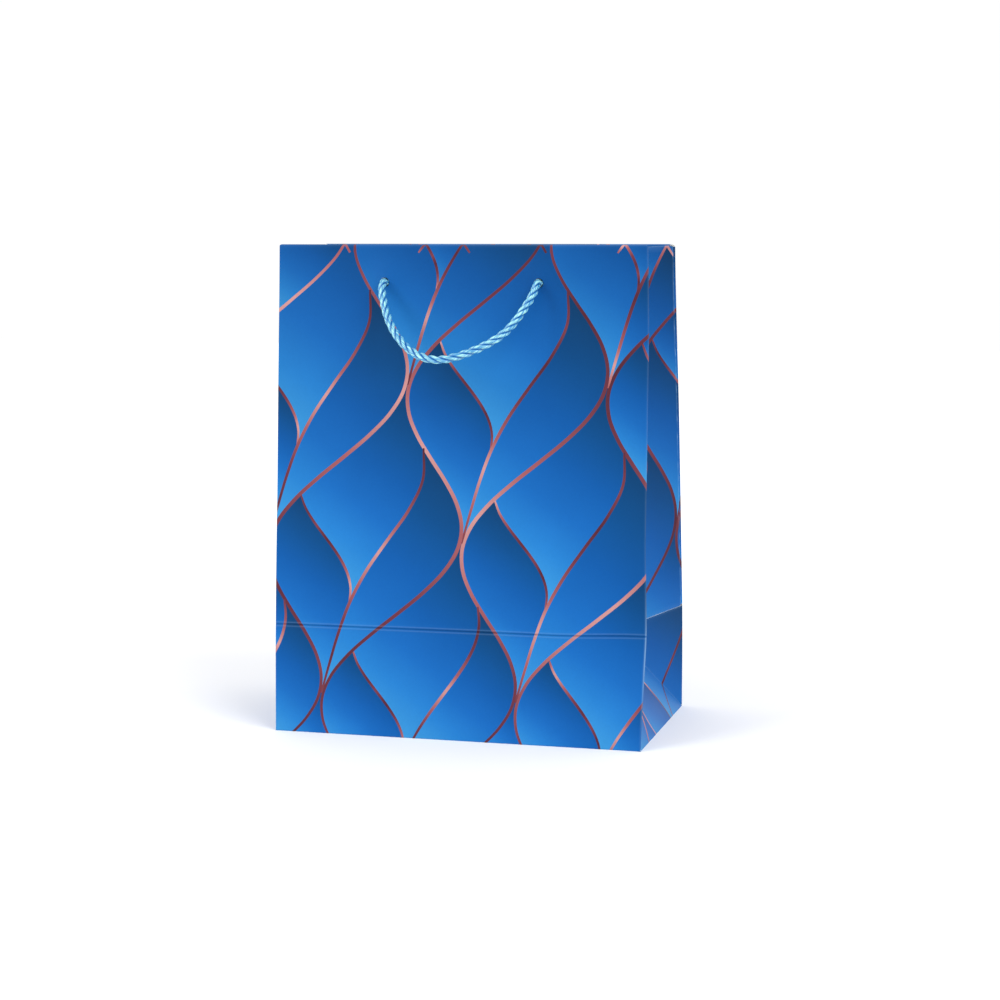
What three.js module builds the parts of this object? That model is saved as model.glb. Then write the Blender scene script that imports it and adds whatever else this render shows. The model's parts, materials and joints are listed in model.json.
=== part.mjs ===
// Paper gift bag with twisted cord handles, standing open with its mouth a little pinched.
// Millimetres, +Z up. The origin is the middle of the base; the front faces -Y and +X is to its right.
// The bag is one sheet folded along its creases: each flat field between two creases is a panel here.

import * as THREE from 'three';

// Driving dimensions of the folded bag
const WIDTH = 200;
const DEPTH = 120;
const HEIGHT = 260;
const CREASE_HEIGHT = 58;
const CREASE_PULL_IN = 4;
const FRONT_TOP_LEAN = 12.7;
const BACK_TOP_LEAN = 30;
const PAPER = 0.4;
const BOARD = 1.0;
const GAP = 0.3;

// Creases: how far a panel stops short of them
const CREASE_CLEARANCE = 0.3;
const FOLD_CLEARANCE = 0.8;
const CORNER_CLEARANCE = 1.8;

// Turned-in top edge and its stiffening boards
const HEM_HEIGHT = 35;
const BOARD_HEIGHT = 32;
const HEM_SIDE_INSET = 4.5;
const BOARD_SIDE_INSET = 6;
const GUSSET_HEM_INSET = 9;
const TAB_SHARE = 0.2;

// Base
const FLAP_REACH = 74;
const TUCK_REACH = 42;
const TUCK_TAPER = 30;
const FLAP_INSET = 1.5;
const CARD_SIDE_CLEARANCE = 3.5;

// Cord handles
const CORD_DIAMETER = 4.1;
const CORD_SIDES = 10;
const CORD_STEPS = 18;
const HOLE_DIAMETER = 5.2;
const HOLE_SPACING = 83.2;
const HOLE_DROP = 19.8;
const HINGE_OUT = 5.5;
const HANG_ANGLE = THREE.MathUtils.degToRad(51);
const LOOP_DROP = 49.5;

const HALF_WIDTH = WIDTH / 2;
const HALF_DEPTH = DEPTH / 2;
const CORD_RADIUS = CORD_DIAMETER / 2;
const UPPER_LENGTH = Math.hypot(HEIGHT - CREASE_HEIGHT, FRONT_TOP_LEAN - CREASE_PULL_IN);

const COLOURS = {
  print: { color: 0x2f7fb8, roughness: 0.42, metalness: 0.0 },
  inside: { color: 0xf1f1ee, roughness: 0.85, metalness: 0.0 },
  board: { color: 0xb9b4aa, roughness: 0.9, metalness: 0.0 },
  cord: { color: 0x5fc4df, roughness: 0.38, metalness: 0.0 },
};

const bag = new THREE.Group();

function addMesh(name, geometry, colour) {
  const mesh = new THREE.Mesh(geometry, new THREE.MeshStandardMaterial(COLOURS[colour]));
  mesh.name = name;
  bag.add(mesh);
  return mesh;
}

function point(x, y, z) {
  return new THREE.Vector3(x, y, z);
}

function between(a, b, share) {
  return a.clone().lerp(b, share);
}

function towards(a, b, distance) {
  return a.clone().add(b.clone().sub(a).setLength(distance));
}

// Moves each edge of a convex outline inwards by its own distance and returns the new corners
function insetOutline(corners, insets) {
  const count = corners.length;
  const lines = corners.map((corner, i) => {
    const along = corners[(i + 1) % count].clone().sub(corner).normalize();
    const inward = new THREE.Vector2(-along.y, along.x);
    return { start: corner.clone().addScaledVector(inward, insets[i]), along };
  });
  return lines.map((line, i) => {
    const before = lines[(i + count - 1) % count];
    const gap = line.start.clone().sub(before.start);
    const share = gap.cross(line.along) / before.along.cross(line.along);
    return before.start.clone().addScaledVector(before.along, share);
  });
}

// A flat panel whose outer face has these corners. Its thickness, and the distance that it lies under that
// face, go inwards. insets[i] is for the edge that starts at corner i; holes are centres on the outer face.
function addPanel(name, colour, corners, insets, outward, options = {}) {
  const { thickness = PAPER, under = 0, holes = [] } = options;
  let outline = corners;
  let edges = insets;
  const first = corners[1].clone().sub(corners[0]);
  const second = corners[2].clone().sub(corners[1]);
  const normal = first.cross(second).normalize();
  if (normal.dot(outward) > 0) {
    const count = corners.length;
    outline = [...corners].reverse();
    edges = insets.map((_, i) => insets[(2 * count - 2 - i) % count]);
    normal.negate();
  }
  // normal now points into the bag, and the outline turns counter-clockwise about it
  const origin = outline[0];
  const along = outline[1].clone().sub(origin).normalize();
  const across = normal.clone().cross(along);
  const flat = (p) => {
    const offset = p.clone().sub(origin);
    return new THREE.Vector2(offset.dot(along), offset.dot(across));
  };
  const shape = new THREE.Shape(insetOutline(outline.map(flat), edges));
  for (const centre of holes) {
    const middle = flat(centre);
    const hole = new THREE.Path();
    hole.absarc(middle.x, middle.y, HOLE_DIAMETER / 2, 0, 2 * Math.PI, true);
    shape.holes.push(hole);
  }
  const geometry = new THREE.ExtrudeGeometry(shape, { depth: thickness, bevelEnabled: false, curveSegments: 6 });
  const mesh = addMesh(name, geometry, colour);
  mesh.quaternion.setFromRotationMatrix(new THREE.Matrix4().makeBasis(along, across, normal));
  mesh.position.copy(origin).addScaledVector(normal, under);
  return mesh;
}

// Corner points of the front (-1) or back (+1) wall, on the side towards -X or +X
function foot(face, side) {
  return point(side * HALF_WIDTH, face * HALF_DEPTH, 0);
}

function creaseEnd(face, side) {
  return point(side * HALF_WIDTH, face * (HALF_DEPTH - CREASE_PULL_IN), CREASE_HEIGHT);
}

function wallTop(face, side) {
  const lean = (face < 0 ? FRONT_TOP_LEAN : BACK_TOP_LEAN) - CREASE_PULL_IN;
  const rise = Math.sqrt(UPPER_LENGTH ** 2 - lean ** 2);
  return creaseEnd(face, side).add(point(0, -face * lean, rise));
}

// The gusset's middle crease: where it meets the base triangle, and its top
function gussetMiddle(side) {
  const nearCrease = creaseEnd(-1, side);
  const pull = Math.sqrt(HALF_DEPTH ** 2 - nearCrease.y ** 2);
  return point(side * (HALF_WIDTH - pull), 0, Math.sqrt(CREASE_HEIGHT ** 2 - pull ** 2));
}

function gussetTop(side) {
  const front = wallTop(-1, side);
  const back = wallTop(1, side);
  const y = (front.y + back.y) / 2;
  const pull = Math.sqrt(HALF_DEPTH ** 2 - ((back.y - front.y) / 2) ** 2);
  const middle = gussetMiddle(side);
  const x = HALF_WIDTH - pull;
  const sideways = Math.hypot(middle.x * side - x, y);
  return point(side * x, y, middle.z + Math.sqrt(UPPER_LENGTH ** 2 - sideways ** 2));
}

// Out of the wall, square to it
function wallNormal(face) {
  const up = wallTop(face, 1).sub(creaseEnd(face, 1)).normalize();
  return point(face, 0, 0).cross(up).multiplyScalar(-1).normalize();
}

function holeCentre(face, side) {
  const up = wallTop(face, 1).sub(creaseEnd(face, 1)).normalize();
  const top = between(wallTop(face, -1), wallTop(face, 1), 0.5);
  return top.addScaledVector(up, -HOLE_DROP).add(point(side * HOLE_SPACING / 2, 0, 0));
}

function faceName(face) {
  return face < 0 ? 'front' : 'back';
}

function sideName(side) {
  return side < 0 ? 'left' : 'right';
}

// Printed front or back: lower field under the horizontal crease, upper field with the two punched holes
function addWall(face) {
  const outward = point(0, face, 0);
  const holes = [holeCentre(face, -1), holeCentre(face, 1)];
  const lower = [foot(face, -1), foot(face, 1), creaseEnd(face, 1), creaseEnd(face, -1)];
  addPanel(`${faceName(face)}_lower_panel`, 'print', lower, [0, 0, CREASE_CLEARANCE, 0], outward);
  const upper = [creaseEnd(face, -1), creaseEnd(face, 1), wallTop(face, 1), wallTop(face, -1)];
  addPanel(`${faceName(face)}_wall`, 'print', upper, [CREASE_CLEARANCE, 0, 0, 0], outward, { holes });
}

// Top edge turned into the bag over a stiffening board, both punched for the cord
function addWallHem(face) {
  const outward = point(0, face, 0);
  const holes = [holeCentre(face, -1), holeCentre(face, 1)];
  const band = (height) => {
    const share = height / UPPER_LENGTH;
    return [
      between(wallTop(face, -1), creaseEnd(face, -1), share),
      between(wallTop(face, 1), creaseEnd(face, 1), share),
      wallTop(face, 1),
      wallTop(face, -1),
    ];
  };
  const boardInsets = [0, BOARD_SIDE_INSET, GAP, BOARD_SIDE_INSET];
  const boardUnder = PAPER + GAP;
  addPanel(`${faceName(face)}_top_board`, 'board', band(BOARD_HEIGHT), boardInsets, outward,
    { thickness: BOARD, under: boardUnder, holes });
  const hemInsets = [0, HEM_SIDE_INSET, 0, HEM_SIDE_INSET];
  addPanel(`${faceName(face)}_hem`, 'print', band(HEM_HEIGHT), hemInsets, outward,
    { under: boardUnder + BOARD + GAP, holes });
}

// One half of a gusset above the crease: a field beside the wall and a field beside the middle crease
function addUpperGusset(face, side) {
  const outward = point(side, 0, 0);
  const name = `${sideName(side)}_gusset_${faceName(face)}`;
  const corner = creaseEnd(face, side);
  const middle = gussetMiddle(side);
  const top = wallTop(face, side);
  const middleTop = gussetTop(side);
  addPanel(`${name}_outer`, 'print', [corner, middle, top],
    [FOLD_CLEARANCE, FOLD_CLEARANCE, CORNER_CLEARANCE], outward);
  addPanel(`${name}_inner`, 'print', [middle, middleTop, top],
    [FOLD_CLEARANCE, CORNER_CLEARANCE, FOLD_CLEARANCE], outward);
  const hem = [
    towards(top, middleTop, GUSSET_HEM_INSET),
    middleTop,
    towards(middleTop, middle, HEM_HEIGHT),
    towards(top, middle, HEM_HEIGHT),
  ];
  addPanel(`${name}_hem`, 'print', hem,
    [CORNER_CLEARANCE, FOLD_CLEARANCE, 0, FOLD_CLEARANCE], outward, { under: PAPER + GAP });
}

// The gusset under the crease: a triangle that stands on the base and a smaller one at each corner
function addLowerGusset(side) {
  const outward = point(side, 0, 0);
  const middle = gussetMiddle(side);
  const name = `${sideName(side)}_base_triangle`;
  addPanel(name, 'print', [foot(-1, side), foot(1, side), middle],
    [0, FOLD_CLEARANCE, FOLD_CLEARANCE], outward);
  for (const face of [-1, 1]) {
    addPanel(`${name}_${faceName(face)}`, 'print', [foot(face, side), creaseEnd(face, side), middle],
      [FOLD_CLEARANCE, FOLD_CLEARANCE, FOLD_CLEARANCE], outward);
  }
}

// Glue tab at the back edge of the right gusset, folded from the back wall and lying inside
function addGlueTab() {
  const corner = creaseEnd(1, 1);
  const middle = gussetMiddle(1);
  const top = wallTop(1, 1);
  const upper = [corner, between(corner, middle, TAB_SHARE), between(top, middle, TAB_SHARE), top];
  addPanel('glue_tab', 'inside', upper,
    [FOLD_CLEARANCE, 0, FOLD_CLEARANCE, 2 * CORNER_CLEARANCE], point(1, 0, 0), { under: PAPER + GAP });
}

// Folded and glued bottom: outer flap from the front, inner flap from the back, a tuck from each gusset
function addBase() {
  const outward = point(0, 0, -1);
  const reach = FLAP_REACH - HALF_DEPTH;
  const flap = (from, to) => [
    point(-HALF_WIDTH, from, 0),
    point(HALF_WIDTH, from, 0),
    point(HALF_WIDTH, to, 0),
    point(-HALF_WIDTH, to, 0),
  ];
  const flapInsets = [FLAP_INSET, FLAP_INSET, 0, FLAP_INSET];
  addPanel('base_outer_flap', 'print', flap(-HALF_DEPTH, reach), flapInsets, outward);
  addPanel('base_inner_flap', 'print', flap(HALF_DEPTH, -reach), flapInsets, outward, { under: PAPER + GAP });
  const tuckUnder = 2 * (PAPER + GAP);
  for (const side of [-1, 1]) {
    const edge = side * HALF_WIDTH;
    const tip = side * (HALF_WIDTH - TUCK_REACH);
    const tuck = [
      point(edge, -HALF_DEPTH, 0),
      point(tip, -TUCK_TAPER, 0),
      point(tip, TUCK_TAPER, 0),
      point(edge, HALF_DEPTH, 0),
    ];
    addPanel(`base_${sideName(side)}_tuck`, 'inside', tuck,
      [FOLD_CLEARANCE, 0, FOLD_CLEARANCE, 2 * FLAP_INSET], outward, { under: tuckUnder });
  }
  const cardInsets = [CARD_SIDE_CLEARANCE, CARD_SIDE_CLEARANCE, CARD_SIDE_CLEARANCE, CARD_SIDE_CLEARANCE];
  addPanel('base_card', 'board', flap(-HALF_DEPTH, HALF_DEPTH), cardInsets, outward,
    { thickness: BOARD, under: tuckUnder + PAPER + GAP });
}

// A solid of revolution whose axis is turned to a direction, with the profile's origin at a place
function addTurned(name, profile, place, direction) {
  const points = profile.map(([radius, along]) => new THREE.Vector2(radius, along));
  const mesh = addMesh(name, new THREE.LatheGeometry(points, CORD_SIDES), 'cord');
  mesh.quaternion.setFromUnitVectors(point(0, 1, 0), direction);
  mesh.position.copy(place);
  return mesh;
}

// The short length of cord through the wall, rounded where the loop turns on it
function addCordEnd(face, side) {
  const stack = 2 * PAPER + BOARD + 2 * GAP;
  const normal = wallNormal(face);
  const hinge = holeCentre(face, side).addScaledVector(normal, HINGE_OUT);
  const profile = [[0, -HINGE_OUT - stack], [CORD_RADIUS, -HINGE_OUT - stack]];
  const arcSteps = 4;
  for (let i = 0; i < arcSteps; i += 1) {
    const angle = (i / arcSteps) * Math.PI / 2;
    profile.push([CORD_RADIUS * Math.cos(angle), CORD_RADIUS * Math.sin(angle)]);
  }
  profile.push([0, CORD_RADIUS]);
  addTurned(`${faceName(face)}_cord_end_${sideName(side)}`, profile, hinge, normal);
}

// The knot that stops the cord inside the bag, as its plain outer shape
function addKnot(face, side) {
  const stack = 2 * PAPER + BOARD + 2 * GAP;
  const normal = wallNormal(face);
  const start = holeCentre(face, side).addScaledVector(normal, -stack - GAP);
  const profile = [[0, -10], [2.6, -10], [5.2, -8.4], [6.4, -5], [6.2, -2.2], [4.6, 0], [0, 0]];
  addTurned(`${faceName(face)}_knot_${sideName(side)}`, profile, start, normal);
}

// The hanging loop: across is measured along X from the middle, and down along the loop's own plane
function addLoop(face) {
  const normal = wallNormal(face);
  const middle = between(holeCentre(face, -1), holeCentre(face, 1), 0.5).addScaledVector(normal, HINGE_OUT);
  const down = point(0, face * Math.cos(HANG_ANGLE), -Math.sin(HANG_ANGLE));
  const half = [
    [41.6, CORD_RADIUS + GAP],
    [41.4, 7],
    [39.6, 13.4],
    [35.2, 23.6],
    [28.5, 34],
    [21.3, 41.4],
    [13.6, 46.4],
    [4.7, LOOP_DROP - 0.4],
  ];
  const mirrored = half.map(([across, drop]) => [-across, drop]).reverse();
  const route = [...half, ...mirrored];
  const points = route.map(([across, drop]) => middle.clone().add(point(across, 0, 0)).addScaledVector(down, drop));
  const section = new THREE.Shape();
  section.absarc(0, 0, CORD_RADIUS, 0, 2 * Math.PI, false);
  const geometry = new THREE.ExtrudeGeometry(section, {
    steps: CORD_STEPS,
    curveSegments: CORD_SIDES,
    bevelEnabled: false,
    extrudePath: new THREE.CatmullRomCurve3(points),
  });
  addMesh(`${faceName(face)}_handle_cord`, geometry, 'cord');
}

for (const face of [-1, 1]) {
  addWall(face);
  addWallHem(face);
  addLoop(face);
  for (const side of [-1, 1]) {
    addUpperGusset(face, side);
    addCordEnd(face, side);
    addKnot(face, side);
  }
}
for (const side of [-1, 1]) {
  addLowerGusset(side);
}
addGlueTab();
addBase();

export default bag;
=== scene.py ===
"""Paper gift bag with a printed leaf pattern and twisted cord handles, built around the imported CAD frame."""

import json
import math

import bpy
import numpy as np
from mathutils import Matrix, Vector, noise
from mathutils.geometry import delaunay_2d_cdt


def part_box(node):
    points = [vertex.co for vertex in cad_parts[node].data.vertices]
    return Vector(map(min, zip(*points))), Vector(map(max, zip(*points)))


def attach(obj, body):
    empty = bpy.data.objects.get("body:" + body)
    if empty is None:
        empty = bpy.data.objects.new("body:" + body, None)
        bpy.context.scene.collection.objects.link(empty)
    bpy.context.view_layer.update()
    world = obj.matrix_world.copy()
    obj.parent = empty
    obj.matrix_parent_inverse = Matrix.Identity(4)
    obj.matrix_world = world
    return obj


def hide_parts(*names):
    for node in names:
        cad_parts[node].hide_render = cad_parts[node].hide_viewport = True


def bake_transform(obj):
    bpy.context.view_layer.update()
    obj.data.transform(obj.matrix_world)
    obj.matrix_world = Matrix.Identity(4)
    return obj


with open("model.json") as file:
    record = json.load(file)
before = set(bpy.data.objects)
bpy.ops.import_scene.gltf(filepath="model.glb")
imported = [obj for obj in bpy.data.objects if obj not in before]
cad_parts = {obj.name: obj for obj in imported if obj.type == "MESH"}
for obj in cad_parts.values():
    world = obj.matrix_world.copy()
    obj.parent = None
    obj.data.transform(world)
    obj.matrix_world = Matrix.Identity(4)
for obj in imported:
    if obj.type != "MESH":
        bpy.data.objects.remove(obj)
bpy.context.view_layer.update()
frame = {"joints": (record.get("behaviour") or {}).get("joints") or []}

# ---------------------------------------------------------------------------------------------
# Sizes. Lengths are in millimetres until a mesh is made, and MM turns them into metres.

MM = 0.001
JOINT = {joint["name"]: joint for joint in frame["joints"]}


def corner_mm(node, end):
    """A corner of a CAD node's box in millimetres: end 0 is the lowest and 1 the highest."""
    return np.array(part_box(node)[end]) / MM


HALF_WIDTH = corner_mm("front_wall", 1)[0]
HALF_DEPTH = -corner_mm("front_lower_panel", 0)[1]
CREASE_Z = JOINT["front_wall_open"]["pos_m"][2] / MM
FACE_NAME = {-1: "front", 1: "back"}
SIDE_NAME = {-1: "left", 1: "right"}
CREASE_Y = {face: JOINT[f"{name}_wall_open"]["pos_m"][1] / MM for face, name in FACE_NAME.items()}
HINGE = {face: np.array(JOINT[f"{name}_handle_swing"]["pos_m"]) / MM for face, name in FACE_NAME.items()}
TOP_FOLD_RISE = 1.15     # of the rounded top fold above the end of the straight wall
BACK_TOP_EXTRA = 0.4     # the back wall stands a little above its CAD height
TOP_Z = {-1: corner_mm("front_wall", 1)[2] - TOP_FOLD_RISE, 1: corner_mm("back_wall", 1)[2] + BACK_TOP_EXTRA}
TOP_Y = {-1: -47.35, 1: 30.15}

PAPER = 0.3
HEM_STACK = 2.4          # outer face of a wall to the printed face of its turned-in hem
GUSSET_STACK = 1.1
HEM_HEIGHT = 35.0
HEM_SIDE_INSET = 4.5
GUSSET_HEM_INSET = 9.0
BOARD_HEIGHT = 32.0
GLUED_EDGE = 1.5         # from the right gusset's cut edge to the back corner
FOLD_RADIUS = 0.7
FOLD_TURN = math.radians(95)
CORD_LAY = 16.6
HOLE_RADIUS = 2.5
HOLE_X = 41.6
HOLE_SHIFT = 1.2         # both holes sit this far to the right of the middle
HOLE_DROP = 19.8
HOLE_PULL = 1.2          # the cord pulls the wall out this far at its holes
HOLE_PULL_REACH = 8.0
HINGE_OUT = 5.5
HANG_ANGLE = math.radians(51)

LOWER_LENGTH = math.hypot(CREASE_Z, HALF_DEPTH - CREASE_Y[1])
SHEET_HEIGHT = 259.1     # along the paper, from the base fold to the start of the top fold
HOLE_V = SHEET_HEIGHT + TOP_FOLD_RISE - HOLE_DROP


# ---------------------------------------------------------------------------------------------
# Curves

def smooth_curve(points, step):
    """Points a step apart along a centripetal Catmull-Rom curve through the given points."""
    points = np.array(points, float)
    ends = [2 * points[0] - points[1]], [2 * points[-1] - points[-2]]
    p = np.concatenate([ends[0], points, ends[1]])
    knots = np.concatenate([[0], np.cumsum(np.linalg.norm(np.diff(p, axis=0), axis=1) ** 0.5)])
    dense = []
    for i in range(1, len(p) - 2):
        t = np.linspace(knots[i], knots[i + 1], 24, endpoint=False)[:, None]
        t0, t1, t2, t3 = knots[i - 1:i + 3]
        a1 = (t1 - t) / (t1 - t0) * p[i - 1] + (t - t0) / (t1 - t0) * p[i]
        a2 = (t2 - t) / (t2 - t1) * p[i] + (t - t1) / (t2 - t1) * p[i + 1]
        a3 = (t3 - t) / (t3 - t2) * p[i + 1] + (t - t2) / (t3 - t2) * p[i + 2]
        b1 = (t2 - t) / (t2 - t0) * a1 + (t - t0) / (t2 - t0) * a2
        b2 = (t3 - t) / (t3 - t1) * a2 + (t - t1) / (t3 - t1) * a3
        dense.append((t2 - t) / (t2 - t1) * b1 + (t - t1) / (t2 - t1) * b2)
    dense = np.concatenate([*dense, points[-1:]])
    along = np.concatenate([[0], np.cumsum(np.linalg.norm(np.diff(dense, axis=0), axis=1))])
    places = np.linspace(0, along[-1], max(2, int(round(along[-1] / step)) + 1))
    return np.stack([np.interp(places, along, dense[:, k]) for k in range(dense.shape[1])], axis=1)


def unit(vectors):
    return vectors / np.linalg.norm(vectors, axis=-1, keepdims=True)


def ease(t):
    """0 to 1 with flat ends."""
    t = np.clip(t, 0, 1)
    return t * t * (3 - 2 * t)


# ---------------------------------------------------------------------------------------------
# The print: a plain lattice of leaf shapes, worked out from these values round the whole bag. Stems of
# rose-coloured line sway apart and together, and each leaf between two stems has a midrib and a side vein.

STEM_COUNT = 12                                          # even, so that the lattice closes round the bag
STEM_GAP = 4 * (HALF_WIDTH + HALF_DEPTH) / STEM_COUNT
STEM_SWAY = 0.48 * STEM_GAP
STEM_LEAN = 0.28
LEAF_HEIGHT = 165.0
LEAF_SHIFT = 22.0
PRINT_FOOT, PRINT_TOP = -4.0, 266.0
STEM_WIDTH, MIDRIB_WIDTH, VEIN_WIDTH = 2.0, 1.7, 1.5
TONES_ALONG = [0.2, 0.35, 0.7, 0.95, 0.6, 0.3, 0.15, 0.4]     # from 0, maroon, to 1, pink


def stem_place(number, v):
    """How far round the bag a stem is at a height; 0 is the middle of the front."""
    sway = STEM_SWAY * math.cos(2 * math.pi * (v - LEAF_SHIFT) / LEAF_HEIGHT)
    return number * STEM_GAP + STEM_LEAN * v + (sway if number % 2 == 0 else -sway)


def leaf_curve(number, start, rise, share):
    """A curve inside the leaf right of a stem; share says where it is between the leaf's two stems."""
    first, last = max(0, (PRINT_FOOT - start) / rise), min(1, (PRINT_TOP - start) / rise)
    if last - first < 0.1:
        return []
    points = []
    for t in np.linspace(first, last, 9):
        v = start + rise * t
        left, right = stem_place(number, v), stem_place(number + 1, v)
        points.append((left + (right - left) * share(t), v))
    return points


def printed_lines(first, last, to_field):
    """The lattice's lines that reach a field, which runs from first to last round the bag."""
    drawn = []
    for number in range(-2 * STEM_COUNT, 2 * STEM_COUNT):
        heights = np.linspace(PRINT_FOOT, PRINT_TOP, 24)
        drawn.append(([(stem_place(number, v), v) for v in heights], STEM_WIDTH, number))
        pinch = LEAF_SHIFT - LEAF_HEIGHT * (1.0 if number % 2 == 0 else 1.5)
        for row in range(4):
            low = pinch + row * LEAF_HEIGHT
            midrib = leaf_curve(number, low, 0.8 * LEAF_HEIGHT, lambda t: 0.5 + 0.49 * t ** 3)
            vein_foot = low + 0.3 * LEAF_HEIGHT
            vein = leaf_curve(number, vein_foot, 0.34 * LEAF_HEIGHT, lambda t: 0.52 - 0.51 * t ** 1.6)
            drawn += [(midrib, MIDRIB_WIDTH, number + row), (vein, VEIN_WIDTH, number + row + 3)]
    lines = []
    for points, width, turn in drawn:
        if any(first - 3 < place < last + 3 for place, _ in points):
            turn %= len(TONES_ALONG)
            tones = TONES_ALONG[turn:] + TONES_ALONG[:turn]
            lines.append(([(to_field(place), v) for place, v in points], width, tones))
    return lines


GUSSET_END = HALF_WIDTH + 2 * HALF_DEPTH
FRONT_LINES = printed_lines(-HALF_WIDTH, HALF_WIDTH, lambda place: place)
RIGHT_GUSSET_LINES = printed_lines(HALF_WIDTH, GUSSET_END, lambda place: place - HALF_WIDTH)
LEFT_GUSSET_LINES = printed_lines(-GUSSET_END, -HALF_WIDTH, lambda place: -HALF_WIDTH - place)
BACK_END = GUSSET_END + 2 * HALF_WIDTH
BACK_LINES = printed_lines(GUSSET_END, BACK_END, lambda place: GUSSET_END + HALF_WIDTH - place)


def srgb(*rgb):
    """Linear colour from 0 to 255 screen values."""
    c = np.array(rgb, float) / 255
    return np.where(c <= 0.04045, c / 12.92, ((c + 0.055) / 1.055) ** 2.4)


CELL_TONES = [0.0, 0.2, 0.42, 0.62, 0.8, 1.0]
CELL_COLOURS = [srgb(28, 71, 118), srgb(22, 87, 150), srgb(36, 104, 185),
                srgb(60, 121, 206), srgb(94, 146, 225), srgb(146, 175, 238)]
LINE_TONES = [0.0, 0.35, 0.7, 1.0]
CELL_INK = np.array([0.12, 0.56, 0.60])      # how much of each screen colour the ink keeps in bright light
LINE_INK_STRENGTH = 0.58
LINE_COLOURS = [srgb(60, 24, 40), srgb(138, 70, 84), srgb(194, 112, 116), srgb(252, 186, 180)]
CELL_LIGHT_DIRECTION = np.array([-0.55, -0.83])
TOP_DARKENING_HEIGHTS = [0.0, 110.0, 215.0, 259.0]     # the colour is darker towards the top of the bag
TOP_DARKENING = [1.05, 1.05, 0.92, 0.84]
# light colour for worn edges and for painted highlights along folds and the top fold
WORN_AND_HIGHLIGHT_COLOUR = srgb(135, 172, 205)


def from_ramp(tones, colours, t):
    """Colours between the ramp's own."""
    colours = np.array(colours)
    return np.stack([np.interp(t, tones, colours[:, k]) for k in range(3)], axis=-1)


def ribbons(lines):
    """For each line: its centre points and their half widths, thin at both ends."""
    made = []
    for points, width, tones in lines:
        centre = smooth_curve(points, 2.4)
        share = np.linspace(0, 1, len(centre))
        half = width / 2 * (0.55 + 0.45 * np.sin(np.pi * share) ** 0.5)
        made.append((centre, half, np.interp(share, np.linspace(0, 1, len(tones)), tones)))
    return made


def fine_outline(outline, spacing):
    """The outline with its corners counter-clockwise and its sides parted at the spacing."""
    corners = np.array(outline, float)
    after = np.roll(corners, -1, axis=0)
    if np.sum(corners[:, 0] * after[:, 1] - corners[:, 1] * after[:, 0]) < 0:
        corners = corners[::-1]
        after = np.roll(corners, -1, axis=0)
    sides = []
    for start, end in zip(corners, after):
        count = max(1, int(round(math.dist(start, end) / spacing)))
        sides.append(start + (end - start) * np.arange(count)[:, None] / count)
    return np.concatenate(sides)


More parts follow.
